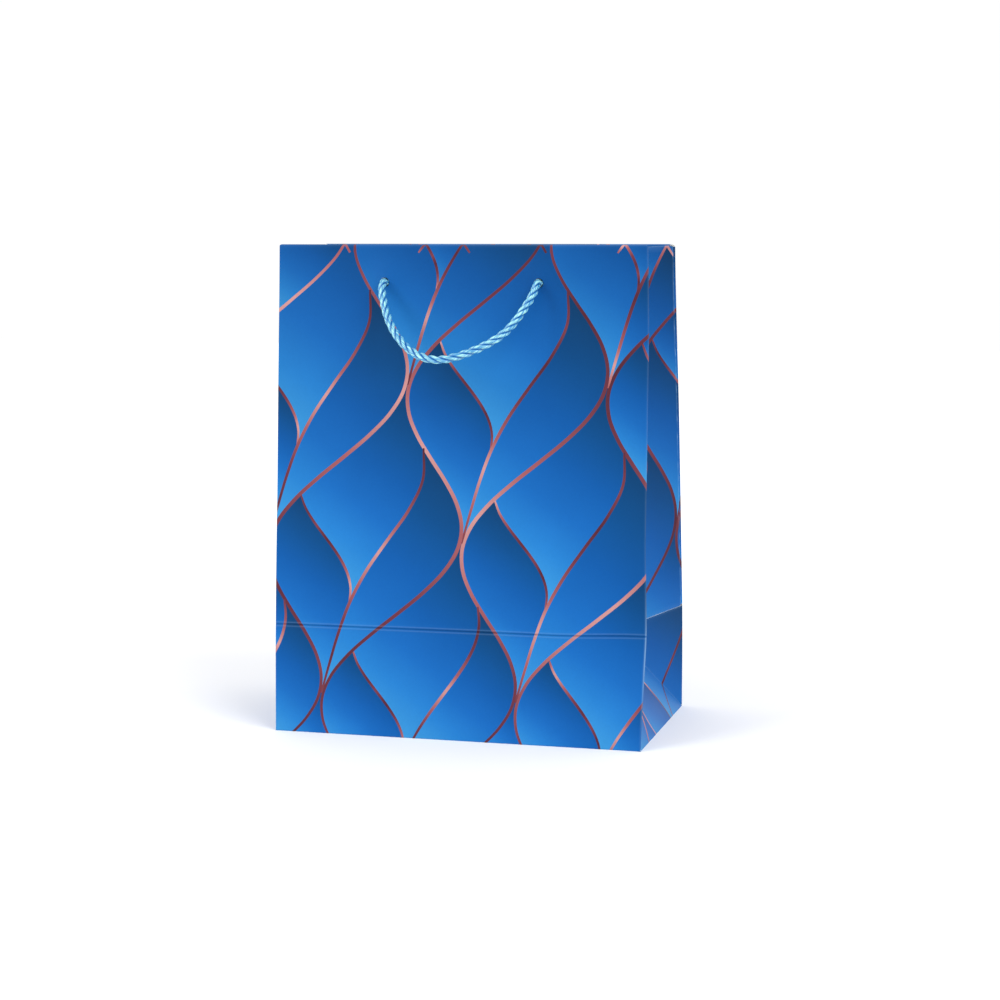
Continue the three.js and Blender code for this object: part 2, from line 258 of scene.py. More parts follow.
class Sheet:
    """A flat printed field: triangles in paper millimetres, each with corner colours and a line flag."""

    def __init__(self, outline, lines, spacing, holes=(), rows=(), columns=(), creases=()):
        self.points, self.faces = [], []
        outline_face = self.add_face(fine_outline(outline, spacing / 2))
        hole_faces = [self.add_face(hole) for hole in holes]
        self.bands = ribbons(lines)
        band_of = {}
        for number, (centre, half, _) in enumerate(self.bands):
            along = np.gradient(centre, axis=0)
            along /= np.linalg.norm(along, axis=1)[:, None]
            side = np.stack([-along[:, 1], along[:, 0]], axis=1) * half[:, None]
            for i in range(len(centre) - 1):
                low_side = [centre[i] - side[i], centre[i + 1] - side[i + 1]]
                high_side = [centre[i + 1] + side[i + 1], centre[i] + side[i]]
                band_of[self.add_face(low_side + high_side)] = number
        low, high = np.min(outline, axis=0), np.max(outline, axis=0)
        self.add_grid(low, high, spacing)
        edges = []
        strokes = [((low[0], row), (high[0], row)) for row in rows]
        strokes += [((column, low[1]), (column, high[1])) for column in columns]
        for start, end in strokes + list(creases):
            first = len(self.points)
            count = max(2, int(math.dist(start, end) / spacing) + 1)
            self.points += [tuple(p) for p in np.linspace(start, end, count)]
            edges += [(first + i, first + i + 1) for i in range(count - 1)]
        result = delaunay_2d_cdt([Vector(p) for p in self.points], edges, self.faces, 0, 1e-4)
        inside = [i for i, owners in enumerate(result[5])
                  if outline_face in owners and not any(h in owners for h in hole_faces)]
        self.xy = np.array([tuple(v) for v in result[0]])
        self.triangles = np.array([result[2][i] for i in inside])
        owned = [[band_of[owner] for owner in result[5][i] if owner in band_of] for i in inside]
        self.band = np.array([min(numbers, default=-1) for numbers in owned])
        self.drop_slivers()
        self.colour()

    def add_face(self, points):
        first = len(self.points)
        self.points += [tuple(p) for p in points]
        self.faces.append(list(range(first, first + len(points))))
        return len(self.faces) - 1

    def add_grid(self, low, high, spacing):
        count = np.maximum(np.round((high - low) / spacing).astype(int), 1)
        for i in range(1, count[0]):
            for j in range(1, count[1]):
                offset = 0.5 * (j % 2)
                self.points.append((low[0] + (high[0] - low[0]) * (i - 0.25 + offset) / count[0],
                                    low[1] + (high[1] - low[1]) * j / count[1]))

    def drop_slivers(self):
        a, b, c = (self.xy[self.triangles[:, k]] for k in range(3))
        area = (b[:, 0] - a[:, 0]) * (c[:, 1] - a[:, 1]) - (b[:, 1] - a[:, 1]) * (c[:, 0] - a[:, 0])
        flip = area < 0
        self.triangles[flip] = self.triangles[flip][:, ::-1]
        keep = np.abs(area) > 1e-6
        self.triangles, self.band = self.triangles[keep], self.band[keep]

    def cells(self):
        """A number for each connected patch between the lines, by spreading from triangle to triangle."""
        owner = {}
        neighbours = [[] for _ in self.triangles]
        for i, triangle in enumerate(self.triangles):
            if self.band[i] >= 0:
                continue
            for k in range(3):
                edge = frozenset((triangle[k], triangle[(k + 1) % 3]))
                if edge in owner:
                    neighbours[i].append(owner[edge])
                    neighbours[owner[edge]].append(i)
                else:
                    owner[edge] = i
        cell = np.full(len(self.triangles), -1)
        number = 0
        for start in range(len(self.triangles)):
            if self.band[start] >= 0 or cell[start] >= 0:
                continue
            cell[start] = number
            waiting = [start]
            while waiting:
                for other in neighbours[waiting.pop()]:
                    if cell[other] < 0:
                        cell[other] = number
                        waiting.append(other)
            number += 1
        return cell

    def colour(self):
        cell = self.cells()
        self.colours = np.zeros((len(self.triangles), 3, 3))
        down = self.xy @ CELL_LIGHT_DIRECTION
        for number in range(cell.max() + 1):
            chosen = np.where(cell == number)[0]
            reach = down[self.triangles[chosen]]
            low, high = reach.min(), reach.max()
            size = min(1.0, (high - low) / 60)
            t = (reach - low) / max(high - low, 1)
            tone = 0.5 + (t - 0.5) * (0.45 + 0.55 * size)
            darkening = np.interp(self.xy[self.triangles[chosen]][..., 1], TOP_DARKENING_HEIGHTS, TOP_DARKENING)
            self.colours[chosen] = from_ramp(CELL_TONES, CELL_COLOURS, tone) * CELL_INK * darkening[..., None]
        for number, (centre, _, tones) in enumerate(self.bands):
            chosen = np.where(self.band == number)[0]
            for i in chosen:
                gap = ((self.xy[self.triangles[i]][:, None] - centre[None]) ** 2).sum(axis=2)
                tone = tones[gap.argmin(axis=1)]
                self.colours[i] = from_ramp(LINE_TONES, LINE_COLOURS, tone) * LINE_INK_STRENGTH


def sheet_mesh(name, sheet, place, materials, thickness=PAPER, wear_and_painted_light=None, flip=False):
    """A piece from a flat field: place turns paper millimetres into points; an optional function lightens the
    print with wear and painted highlights, or darkens it with painted shade.
    """
    order = [0, 2, 1] if flip else [0, 1, 2]
    used, triangles = np.unique(sheet.triangles[:, order], return_inverse=True)
    triangles = triangles.reshape(-1, 3)
    x, v = sheet.xy[used].T
    front = place(x, v)
    step = 0.05
    across = place(x + step, v) - place(x - step, v)
    upward = place(x, v + step) - place(x, v - step)
    outward = unit(np.cross(across, upward)) * (-1 if flip else 1)
    points = np.concatenate([front, front - thickness * outward]) * MM
    count = len(used)
    rims = [(b, a, a + count, b + count) for a, b in boundary_edges(triangles)]
    faces = triangles.tolist() + (triangles[:, ::-1] + count).tolist() + rims

    colours = sheet.colours[:, order]
    if wear_and_painted_light is not None:
        places = sheet.xy[used][triangles]
        factor = wear_and_painted_light(places[..., 0], places[..., 1])[..., None]
        # positive values lighten towards the light colour for wear and painted highlights; negative values
        # darken for painted shade
        lighter = np.clip(factor, 0, 1)
        colours = (colours * (1 - lighter) + WORN_AND_HIGHLIGHT_COLOUR * lighter) * (1 - np.clip(-factor, 0, 1))
    corner_colours = np.ones((3 * 2 * len(triangles) + 4 * len(rims), 4), dtype=np.float32)
    corner_colours[:3 * len(triangles), :3] = colours.reshape(-1, 3)
    slots = np.full(len(faces), 2, dtype=np.int32)
    slots[:len(triangles)] = sheet.band >= 0

    mesh = bpy.data.meshes.new(name)
    mesh.from_pydata(points.tolist(), [], faces)
    layer = mesh.color_attributes.new("print", "FLOAT_COLOR", "CORNER")
    layer.data.foreach_set("color", corner_colours.ravel())
    mesh.polygons.foreach_set("material_index", slots)
    mesh.polygons.foreach_set("use_smooth", [True] * len(faces))
    for material in materials:
        mesh.materials.append(material)
    mesh.set_sharp_from_angle(angle=math.radians(35))
    piece = bpy.data.objects.new(name, mesh)
    bpy.context.scene.collection.objects.link(piece)
    return piece


def boundary_edges(triangles):
    """Directed edges that only one triangle has."""
    edges = {(t[k], t[(k + 1) % 3]) for t in triangles.tolist() for k in range(3)}
    return [(a, b) for a, b in edges if (b, a) not in edges]


# ---------------------------------------------------------------------------------------------
# Materials

def new_material(name):
    material = bpy.data.materials.new(name)
    material.use_nodes = True
    nodes, links = material.node_tree.nodes, material.node_tree.links
    nodes.clear()
    output = nodes.new("ShaderNodeOutputMaterial")
    shader = nodes.new("ShaderNodeBsdfPrincipled")
    links.new(shader.outputs["BSDF"], output.inputs["Surface"])
    return material, nodes, links, shader


def noise_node(nodes, links, scale, detail, coordinates, stretch=(1, 1, 1)):
    """A noise texture in object space, in features per metre."""
    mapping = nodes.new("ShaderNodeMapping")
    mapping.inputs["Scale"].default_value = stretch
    texture = nodes.new("ShaderNodeTexNoise")
    texture.inputs["Scale"].default_value = scale
    texture.inputs["Detail"].default_value = detail
    links.new(coordinates, mapping.inputs["Vector"])
    links.new(mapping.outputs["Vector"], texture.inputs["Vector"])
    return texture.outputs["Fac"]


def printed_paper(name, roughness, metallic, ink_grain):
    """Coated paper with the print under a semi-matt film."""
    material, nodes, links, shader = new_material(name)
    colour = nodes.new("ShaderNodeAttribute")
    colour.attribute_name = "print"
    space = nodes.new("ShaderNodeTexCoord").outputs["Object"]
    grain = noise_node(nodes, links, 900, 3, space)
    mottle = noise_node(nodes, links, 45, 4, space)
    vary = nodes.new("ShaderNodeMix")
    vary.data_type = "RGBA"
    vary.blend_type = "MULTIPLY"
    vary.inputs["Factor"].default_value = ink_grain
    both = nodes.new("ShaderNodeMath")
    both.operation = "ADD"
    links.new(grain, both.inputs[0])
    links.new(mottle, both.inputs[1])
    links.new(colour.outputs["Color"], vary.inputs["A"])
    links.new(both.outputs["Value"], vary.inputs["B"])
    links.new(vary.outputs["Result"], shader.inputs["Base Color"])
    rough = nodes.new("ShaderNodeMapRange")
    rough.inputs["To Min"].default_value = roughness - 0.06
    rough.inputs["To Max"].default_value = roughness + 0.06
    links.new(mottle, rough.inputs["Value"])
    links.new(rough.outputs["Result"], shader.inputs["Roughness"])
    bump = nodes.new("ShaderNodeBump")
    bump.inputs["Strength"].default_value = 0.12
    bump.inputs["Distance"].default_value = 0.0002
    links.new(grain, bump.inputs["Height"])
    links.new(bump.outputs["Normal"], shader.inputs["Normal"])
    shader.inputs["Metallic"].default_value = metallic
    shader.inputs["Specular IOR Level"].default_value = 0.08
    return material


def bare_paper(name, darker, lighter):
    """Uncoated paper or board with faint fibres."""
    material, nodes, links, shader = new_material(name)
    space = nodes.new("ShaderNodeTexCoord").outputs["Object"]
    fibre = noise_node(nodes, links, 700, 5, space, (1, 1, 0.35))
    cloud = noise_node(nodes, links, 60, 3, space)
    ramp = nodes.new("ShaderNodeValToRGB")
    ramp.color_ramp.elements[0].position = 0.3
    ramp.color_ramp.elements[0].color = (*darker, 1)
    ramp.color_ramp.elements[1].position = 0.7
    ramp.color_ramp.elements[1].color = (*lighter, 1)
    links.new(cloud, ramp.inputs["Fac"])
    links.new(ramp.outputs["Color"], shader.inputs["Base Color"])
    bump = nodes.new("ShaderNodeBump")
    bump.inputs["Strength"].default_value = 0.3
    bump.inputs["Distance"].default_value = 0.0002
    links.new(fibre, bump.inputs["Height"])
    links.new(bump.outputs["Normal"], shader.inputs["Normal"])
    shader.inputs["Roughness"].default_value = 0.88
    return material


def silk_cord():
    """Shiny laid cord: fine filaments along the strands, lighter and darker, with painted highlight streaks
    and painted shade in the grooves between the strands.
    """
    material, nodes, links, shader = new_material("silk_cord")
    flat = nodes.new("ShaderNodeTexCoord").outputs["UV"]
    filaments = noise_node(nodes, links, 1, 3, flat, (13, 4, 1))
    # filament streaks from mid blue to near-white cyan; the light streaks are painted highlight of the silky
    # sheen
    ramp = nodes.new("ShaderNodeValToRGB")
    ramp.color_ramp.elements[0].position = 0.44
    ramp.color_ramp.elements[0].color = (*srgb(34, 134, 190), 1)
    ramp.color_ramp.elements[1].position = 0.58
    ramp.color_ramp.elements[1].color = (*srgb(164, 226, 222), 1)
    links.new(filaments, ramp.inputs["Fac"])
    # painted shade: a darker blue in the grooves between strands, mixed towards the filament colours on the
    # crowns
    groove_shade = nodes.new("ShaderNodeAttribute")
    groove_shade.attribute_name = "crown_shading"
    shade = nodes.new("ShaderNodeMix")
    shade.data_type = "RGBA"
    shade.inputs["A"].default_value = (*srgb(34, 116, 184), 1)
    links.new(groove_shade.outputs["Fac"], shade.inputs["Factor"])
    links.new(ramp.outputs["Color"], shade.inputs["B"])
    links.new(shade.outputs["Result"], shader.inputs["Base Color"])
    bump = nodes.new("ShaderNodeBump")
    bump.inputs["Strength"].default_value = 0.5
    bump.inputs["Distance"].default_value = 0.0003
    links.new(filaments, bump.inputs["Height"])
    links.new(bump.outputs["Normal"], shader.inputs["Normal"])
    shader.inputs["Roughness"].default_value = 0.34
    shader.inputs["Specular IOR Level"].default_value = 0.8
    return material


PRINTED = printed_paper("printed_paper", 0.42, 0.0, 0.10)
LINE_INK = printed_paper("line_ink", 0.36, 0.25, 0.12)
BARE = bare_paper("uncoated_paper", srgb(226, 225, 220), srgb(247, 247, 244))
GREYBOARD = bare_paper("greyboard", srgb(150, 146, 138), srgb(182, 178, 169))
SILK = silk_cord()
SHEET_MATERIALS = [PRINTED, LINE_INK, BARE]


# ---------------------------------------------------------------------------------------------
# The folded shape. Front is face -1 and back is face 1; left is side -1 and right is side 1.

# How far the walls' side edges stand off the straight wall: height, then how far towards the back
FRONT_LEFT_BOW = [(0, 0), (36, -1.6), (57, -2.2), (97, -1.7), (129, -0.6), (193, 0.3), (236, 1.3), (260, 1.5)]
FRONT_RIGHT_BOW = [(0, 0), (14, 1.0), (26, 3.4), (42, 6.6), (55, 9.0), (64, 9.0), (83, 6.2),
                   (104, 3.2), (125, 2.7), (150, 3.1), (186, 3.0), (217, 2.8), (237, 0.4), (260, -2.8)]
BACK_BOW = [(0, 0), (37, 2.4), (58, 2.6), (101, 2.0), (135, 1.6), (169, 0.8), (191, -0.4),
            (208, -1.8), (230, -3.0), (246, -3.6), (260, -3.6)]
# Across the embossed crease: place along the paper, then how far the paper stands proud
CREASE_PROFILE = [(-3.0, 0.0), (-1.6, 0.0), (-0.95, 0.2), (-0.5, 0.05), (0.0, -0.22),
                  (0.5, 0.05), (0.95, 0.2), (1.6, 0.0), (3.0, 0.0)]


def bow(table, z):
    curve = smooth_curve(table, 2.0)
    return np.interp(z, curve[:, 0], curve[:, 1])


def wall_line(face, v):
    """Distance from the middle plane, and height, of the straight wall at each place along the paper."""
    foot, crease, top = face * HALF_DEPTH, CREASE_Y[face], TOP_Y[face]
    low = np.clip(v / LOWER_LENGTH, None, 1)
    up = np.clip((v - LOWER_LENGTH) / (SHEET_HEIGHT - LOWER_LENGTH), 0, None)
    return foot + (crease - foot) * low + (top - crease) * up, CREASE_Z * low + (TOP_Z[face] - CREASE_Z) * up


def wall_offset(face, x, z):
    """How far the wall bows off its straight line, towards the back."""
    if face > 0:
        return bow(BACK_BOW, z) * (0.45 + 0.55 * ease(np.abs(x) / HALF_WIDTH))
    left = bow(FRONT_LEFT_BOW, z) * ease((20 - x) / (HALF_WIDTH + 20))
    start = 5 + 45 * np.exp(-((z - CREASE_Z) / 34) ** 2)
    right = bow(FRONT_RIGHT_BOW, z) * ease((x - start) / (HALF_WIDTH - start))
    return left + right


def ripple(x, z, seed, depth=0.5):
    """Slow unevenness of a held sheet, in millimetres."""
    return depth * np.array([noise.noise(Vector((a / 70 + seed, b / 85, seed * 3.1))) for a, b in zip(x, z)])


def wall_directions(face):
    """Unit vectors into the bag, square to the wall, and up the wall."""
    lean = math.atan2(abs(CREASE_Y[face] - TOP_Y[face]), TOP_Z[face] - CREASE_Z)
    inward = np.array([0, -face * math.cos(lean), -math.sin(lean)])
    upward = np.array([0, -face * math.sin(lean), math.cos(lean)])
    return inward, upward


def place_on_wall(face, sunk=0.0):
    """Paper millimetres to points: the wall, its rolled edges, the top fold and the hem behind it."""
    inward, upward = wall_directions(face)
    fold = HEM_STACK / 2
    fold_length = math.pi * fold

    def place(x, v):
        over = np.clip(v - SHEET_HEIGHT, 0, None)
        turn = np.clip(over / fold, 0, math.pi)
        flat_v = np.minimum(v, SHEET_HEIGHT) - np.clip(over - fold_length, 0, None)
        y, z = wall_line(face, np.maximum(flat_v, FOLD_RADIUS))
        y = y + wall_offset(face, x, z)
        depth = sunk + fold * (1 - np.cos(turn))
        rise = fold * np.sin(turn)
        # the rolled sides and foot
        past_edge = np.clip(np.abs(x) - (HALF_WIDTH - FOLD_RADIUS), 0, None)
        roll = past_edge / FOLD_RADIUS
        across = np.sign(x) * (np.abs(x) - past_edge + FOLD_RADIUS * np.sin(roll))
        foot_roll = np.clip((FOLD_RADIUS - flat_v) / FOLD_RADIUS, 0, None)
        rise = rise - FOLD_RADIUS * np.sin(foot_roll)
        depth = depth + FOLD_RADIUS * (2 - np.cos(roll) - np.cos(foot_roll))
        # ripples, the embossed crease and the wall pulled out a little by the cord at its holes
        quiet = ease((HALF_WIDTH - np.abs(x)) / 12) * ease(z / 20)
        depth = depth - ripple(x, z, 2.7 * face) * quiet
        emboss = np.interp(flat_v - LOWER_LENGTH, *np.array(CREASE_PROFILE).T)
        depth = depth - emboss * ease((HALF_WIDTH - 2 - np.abs(x)) / 8)
        for side in (-1, 1):
            away = np.hypot(x - side * HOLE_X - HOLE_SHIFT, (flat_v - HOLE_V) * 0.8)
            depth = depth - HOLE_PULL * np.exp(-(away / HOLE_PULL_REACH) ** 2)
        points = np.stack([across, y, z], axis=1)
        return points + depth[:, None] * inward + rise[:, None] * upward

    return place


def circle(centre, radius, count=20):
    turn = np.linspace(0, 2 * math.pi, count, endpoint=False)
    return [(centre[0] + radius * math.cos(a), centre[1] + radius * math.sin(a)) for a in turn]


def mirrored(lines, fold_at):
    """The same lines seen again past a fold, so that the print runs over it."""
    return [([(x, 2 * fold_at - v) for x, v in points], width, tones) for points, width, tones in lines]


ROLL_EDGE = HALF_WIDTH - FOLD_RADIUS + FOLD_RADIUS * FOLD_TURN


def wall_piece(face, lines):
    """One wall from its foot to the top, with the hem turned in behind its board."""
    name = FACE_NAME[face]
    fold_length = math.pi * HEM_STACK / 2
    hem_edge = HALF_WIDTH - HEM_SIDE_INSET
    middle = SHEET_HEIGHT + fold_length / 2
    fold_end = SHEET_HEIGHT + fold_length
    hem_end = fold_end + HEM_HEIGHT
    foot = FOLD_RADIUS * (1 - FOLD_TURN)
    half = [(ROLL_EDGE, foot), (ROLL_EDGE, SHEET_HEIGHT), (HALF_WIDTH - 1.5, middle),
            (hem_edge, fold_end), (hem_edge - 1.5, hem_end)]
    outline = half + [(-x, v) for x, v in reversed(half)]
    hem_hole = fold_end + HOLE_DROP - TOP_FOLD_RISE
    hole_places = [(side * HOLE_X + HOLE_SHIFT, v) for side in (-1, 1) for v in (HOLE_V, hem_hole)]
    holes = [circle(middle, HOLE_RADIUS) for middle in hole_places]
    rows = [LOWER_LENGTH + offset for offset, _ in CREASE_PROFILE] + [0.0, 0.4, FOLD_RADIUS]
    rows += list(np.linspace(SHEET_HEIGHT, fold_end, 8))
    columns = [side * (HALF_WIDTH - inset) for side in (-1, 1) for inset in (1.4, FOLD_RADIUS, 0.4, 0.1)]
    sheet = Sheet(outline, lines + mirrored(lines, middle), 4.0, holes, rows, columns)

    def wear_and_painted_light(x, v):
        # painted highlight and wear along the rolled side edge, strongest low on the wall
        seam = np.clip(x * -face - (HALF_WIDTH - 0.75), 0, 0.3) / 0.3
        rubbed_and_highlit = 0.06 + 0.45 * np.exp(-((v - 48) / 22) ** 2)
        # painted highlights on the two ridges of the embossed crease, and painted shade in its groove
        crease = 0.12 * np.exp(-((np.abs(v - LOWER_LENGTH) - 0.95) / 0.35) ** 2)
        groove_shade = -0.35 * np.exp(-((v - LOWER_LENGTH) / 0.4) ** 2)
        # painted highlight along the rounded top fold
        top = 0.22 * np.exp(-((v - middle) / 1.0) ** 2)
        return rubbed_and_highlit * seam + crease + groove_shade + top

    piece = sheet_mesh(f"{name}_panel", sheet, place_on_wall(face), SHEET_MATERIALS, wear_and_painted_light=wear_and_painted_light, flip=face > 0)
    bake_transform(piece)
    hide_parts(f"{name}_wall", f"{name}_lower_panel", f"{name}_hem")


def top_board(face):
    """Greyboard strip between the wall and its hem."""
    name = FACE_NAME[face]
    edge = HALF_WIDTH - 6
    low, high = SHEET_HEIGHT - BOARD_HEIGHT - 0.8, SHEET_HEIGHT - 0.8
    outline = [(-edge, low), (edge, low), (edge, high), (-edge, high)]
    holes = [circle((side * HOLE_X + HOLE_SHIFT, HOLE_V), HOLE_RADIUS) for side in (-1, 1)]
    sheet = Sheet(outline, [], 5.0, holes)
    place = place_on_wall(face, sunk=0.65)
    piece = sheet_mesh(f"{name}_board", sheet, place, [GREYBOARD] * 3, thickness=1.0, flip=face > 0)
    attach(piece, f"{name}_wall")
    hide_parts(f"{name}_top_board")


# ---------------------------------------------------------------------------------------------
# Gussets. The field runs from the front edge, 0, to the back edge, twice HALF_DEPTH.

def edge_point(face, side, v):
    """Where a wall ends and the gusset starts."""
    return place_on_wall(face)(np.full_like(v, side * ROLL_EDGE), v)


def middle_crease(side, v):
    """The gusset's middle crease, as far inside as the distance between the walls' edges leaves it."""
    front, back = edge_point(-1, side, v), edge_point(1, side, v)
    half_gap = (back[:, 1] - front[:, 1]) / 2
    pull = np.sqrt(np.clip((HALF_DEPTH - 0.6) ** 2 - half_gap ** 2, 0, None))
    up = (v - LOWER_LENGTH) / (SHEET_HEIGHT - LOWER_LENGTH)
    z = (front[:, 2] + back[:, 2]) / 2 - 2.6 * up - crease_drop(side) * (1 - up)
    return np.stack([side * (HALF_WIDTH - pull), (front[:, 1] + back[:, 1]) / 2, z], axis=1)


def crease_drop(side):
    """How far the gusset crease's middle is below its ends, with the standing triangle at full height."""
    level = np.array([LOWER_LENGTH])
    half_gap = (edge_point(1, side, level) - edge_point(-1, side, level))[0, 1] / 2
    pull_squared = (HALF_DEPTH - 0.6) ** 2 - half_gap ** 2
    return CREASE_Z - math.sqrt(LOWER_LENGTH ** 2 - pull_squared)


def place_on_gusset(face, side, sunk=0.0):
    """Paper millimetres to points on one half of a gusset above the crease, with its turned-in hem."""
    fold = GUSSET_STACK / 2
    fold_length = math.pi * fold

    def place(g, v):
        over = np.clip(v - SHEET_HEIGHT, 0, None)
        turn = np.clip(over / fold, 0, math.pi)
        flat_v = np.minimum(v, SHEET_HEIGHT) - np.clip(over - fold_length, 0, None)
        share = (g if face < 0 else 2 * HALF_DEPTH - g) / HALF_DEPTH
        edge, middle = edge_point(face, side, flat_v), middle_crease(side, flat_v)
        points = edge + (middle - edge) * share[:, None]
        across = unit(middle - edge)
        inward = np.stack([across[:, 1] * face * side, -across[:, 0] * face * side, 0 * share], axis=1)
        inward *= -side * np.sign(inward[:, :1])
        near_middle = ease((share - 0.85) / 0.15)[:, None]
        inward = unit(inward * (1 - near_middle) + np.array([-side, 0, 0]) * near_middle)
        free = np.sin(np.pi * np.clip(share, 0, 1)) * ease((flat_v - LOWER_LENGTH) / 30)
        belly = 1.4 - 2.2 * ease((flat_v - 70) / 150) - ripple(g, flat_v, 5.3 * side + face, 0.8)
        depth = sunk * ease((flat_v - LOWER_LENGTH) / 10) + fold * (1 - np.cos(turn)) + belly * free
        depth = depth + 0.33 * (flat_v < LOWER_LENGTH)
        rise = fold * np.sin(turn)
        return points + depth[:, None] * inward + rise[:, None] * np.array([0, 0, 1])

    return place


def place_on_lower_gusset(side):
    """Paper millimetres to points under the crease: the standing triangle and the two corner triangles."""
    crease = np.array([LOWER_LENGTH])
    apex = middle_crease(side, crease)[0]

    def place(g, v):
        share = np.clip(v / LOWER_LENGTH, 0, 1)
        points = np.zeros((len(g), 3))
        foot_middle = np.array([side * HALF_WIDTH, 0, 0])
        along_foot = np.stack([0 * g, g - HALF_DEPTH, 0 * g], axis=1)
        standing = foot_middle + along_foot + (apex - foot_middle) * share[:, None]
        points[:] = standing
        for face in (-1, 1):
            reach = g if face < 0 else 2 * HALF_DEPTH - g
            corner = reach < HALF_DEPTH * share - 1e-6
            foot = np.array([side * HALF_WIDTH, face * HALF_DEPTH, 0])
            edge = edge_point(face, side, v)
            diagonal = foot + (apex - foot) * share[:, None]
            part = (reach / np.maximum(HALF_DEPTH * share, 1e-6))[:, None]
            points[corner] = (edge + (diagonal - edge) * part)[corner]
        points[:, 2] = np.maximum(points[:, 2], 0.05)
        return points

    return place


def gusset_half(face, side, lines):
    """One half of a gusset above the crease."""
    name = f"{SIDE_NAME[side]}_gusset_{FACE_NAME[face]}"
    fold_length = math.pi * GUSSET_STACK / 2
    fold_end = SHEET_HEIGHT + fold_length
    outer = GLUED_EDGE if (face, side) == (1, 1) else 0.05
    inner = HALF_DEPTH
    hem_outer = GUSSET_HEM_INSET
    low = LOWER_LENGTH - 1.2
    reaches = [(outer, low), (inner, low), (inner, fold_end + HEM_HEIGHT), (hem_outer, fold_end + HEM_HEIGHT),
               (hem_outer - 2, fold_end), (outer, SHEET_HEIGHT)]
    outline = [(reach if face < 0 else 2 * HALF_DEPTH - reach, v) for reach, v in reaches]
    rows = [LOWER_LENGTH - 0.01, LOWER_LENGTH + 0.8, *np.linspace(SHEET_HEIGHT, fold_end, 7)]
    middle = SHEET_HEIGHT + fold_length / 2
    cut_edge = 2 * HALF_DEPTH - GLUED_EDGE
    columns = [HALF_DEPTH + face * beside for beside in (0.5, 1.3)]
    if (face, side) == (1, 1):
        columns += [cut_edge - 0.4, cut_edge - 0.9]
    sheet = Sheet(outline, lines + mirrored(lines, middle), 4.0, (), rows, columns)

    def wear_and_painted_light(g, v):
        # painted highlights along the middle fold, the crease and the rounded top fold; the glued cut edge is
        # lightened with flecks
        fold = 0.2 * np.exp(-((np.abs(g - HALF_DEPTH) - 0.2) / 0.5) ** 2)
        crease = 0.12 * np.exp(-((v - LOWER_LENGTH) / 0.7) ** 2)
        top = 0.25 * np.exp(-((v - middle) / 0.8) ** 2)
        cut = 0.0
        if (face, side) == (1, 1):
            specks = np.array([noise.noise(Vector((a * 0.3, 0, 7.0))) for a in v.ravel()]).reshape(v.shape)
            cut = np.exp(-((cut_edge - g) / 0.35) ** 2) * np.clip(0.3 + specks, 0, 0.8)
        return fold + crease + top + cut

    sunk = -0.25 if (face, side) == (1, 1) else 0.0
    on_gusset = place_on_gusset(face, side, sunk)
    piece = sheet_mesh(name, sheet, on_gusset, SHEET_MATERIALS, wear_and_painted_light=wear_and_painted_light, flip=side < 0)
    blend_to_wall(piece)
    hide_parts(f"{name}_outer", f"{name}_inner", f"{name}_hem")


def blend_to_wall(piece):
    """Bakes the piece's placement into its mesh."""
    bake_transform(piece)


def glue_tab(lines):
    """Strip of the back wall that turns the right corner and lies under the gusset's cut edge."""
    reach = 0.2 * HALF_DEPTH
    inner = 2 * HALF_DEPTH - reach
    outline = [(inner, LOWER_LENGTH + 1), (2 * HALF_DEPTH - 0.05, LOWER_LENGTH + 1),
               (2 * HALF_DEPTH - 0.05, SHEET_HEIGHT - 0.1), (inner, SHEET_HEIGHT - 1.5)]
    sheet = Sheet(outline, lines, 3.0, (), (), [2 * HALF_DEPTH - share for share in (1.0, 2.0)])
    flat = place_on_gusset(1, 1)
    under = place_on_gusset(1, 1, 0.35)

    def place(g, v):
        sink = ease((2 * HALF_DEPTH - 0.8 - g) / 1.2)[:, None]
        return flat(g, v) * (1 - sink) + under(g, v) * sink

    piece = sheet_mesh("glue_tab_strip", sheet, place, SHEET_MATERIALS)
    blend_to_wall(piece)
    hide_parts("glue_tab")


def lower_gusset(side, lines):
    """The gusset under the crease, with its two diagonal folds."""
    name = f"{SIDE_NAME[side]}_base_triangle"
    depth = 2 * HALF_DEPTH
    outline = [(0.05, 0.05), (depth - 0.05, 0.05), (depth - 0.05, LOWER_LENGTH), (0.05, LOWER_LENGTH)]
    creases = []
    for beside in (-1.0, 0.0, 1.0):
        creases += [((beside, 0), (HALF_DEPTH + beside, LOWER_LENGTH)),
                    ((depth - beside, 0), (HALF_DEPTH - beside, LOWER_LENGTH))]
    sheet = Sheet(outline, lines, 4.0, (), (LOWER_LENGTH - 1.2,), (), creases)

    def wear_and_painted_light(g, v):
        # painted highlights along the two diagonal folds and the crease
        reach = np.minimum(g, depth - g)
        diagonal = 0.12 * np.exp(-((reach - v * HALF_DEPTH / LOWER_LENGTH) / 0.6) ** 2)
        crease = 0.12 * np.exp(-((v - LOWER_LENGTH) / 0.7) ** 2)
        return diagonal + crease

    piece = sheet_mesh(f"{SIDE_NAME[side]}_lower_gusset", sheet, place_on_lower_gusset(side), SHEET_MATERIALS,
                       wear_and_painted_light=wear_and_painted_light, flip=side < 0)
    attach(piece, "root")
    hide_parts(name, f"{name}_front", f"{name}_back")


# ---------------------------------------------------------------------------------------------
# Base

